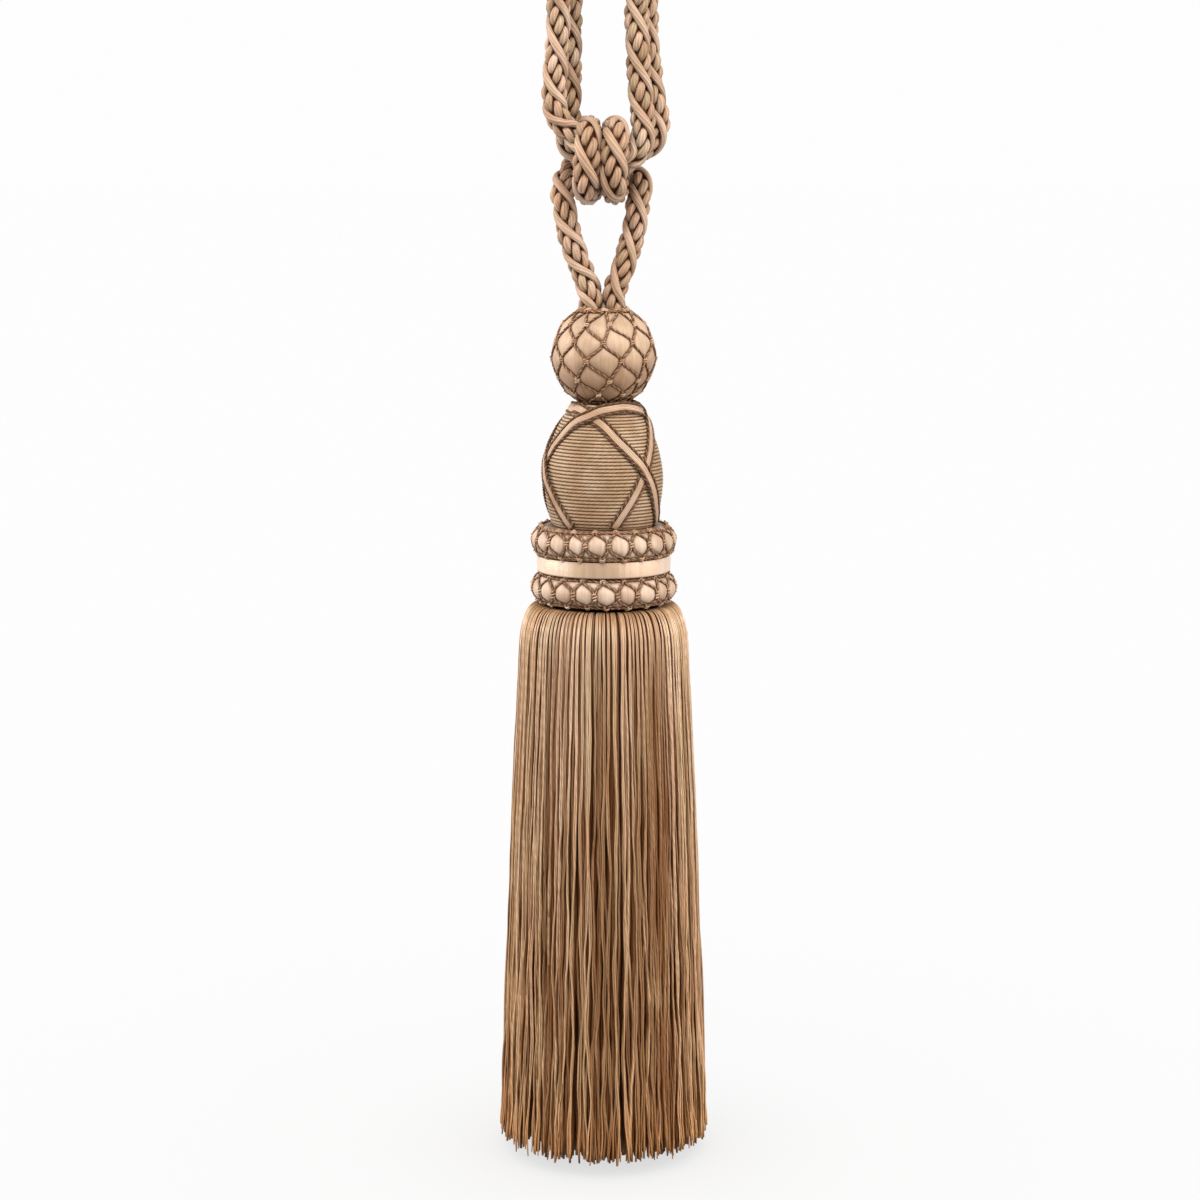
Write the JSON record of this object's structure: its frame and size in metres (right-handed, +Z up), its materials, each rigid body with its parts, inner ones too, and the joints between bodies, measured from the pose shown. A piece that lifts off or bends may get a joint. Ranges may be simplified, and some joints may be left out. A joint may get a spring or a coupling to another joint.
{
  "type": "curtain tieback tassel",
  "caption": "Curtain tieback tassel: twisted doubled rope with hook eyes, knotted tassel rope, netted ball, strapped wound body, netted rings and a long cut yarn skirt.",
  "frame": {"origin": "midway between the two rope eyes, at the height where a wall hook bears inside them", "axes": "+Z up, the way the tassel hangs; the front of the knot faces -Y; +X is to the right of the front view"},
  "size_m": [0.0744, 0.0744, 0.4357],
  "materials": {
    "twisted_cord": "twisted satin yarn cord in warm tan",
    "satin_cover": "pale tan satin with a soft sheen",
    "net_thread": "fine twisted brown and tan thread, knotted",
    "wound_cord": "close turns of thin satin cord",
    "strap_gimp": "flat gimp with a dark twisted edge cord",
    "skirt_yarn": "lustrous cut yarn"
  },
  "bodies": {
    "root": {"embrace_rope": "twisted_cord", "tassel_rope": "twisted_cord", "ball": "satin_cover", "ball_net": "net_thread", "wound_body": "wound_cord", "right_strap_1": "strap_gimp", "right_strap_2": "strap_gimp", "right_strap_3": "strap_gimp", "left_strap_1": "strap_gimp", "left_strap_2": "strap_gimp", "left_strap_3": "strap_gimp", "upper_ring": "satin_cover", "upper_ring_net": "net_thread", "satin_band": "satin_cover", "lower_ring": "satin_cover", "lower_ring_net": "net_thread", "skirt": "skirt_yarn"}
  },
  "joints": []
}
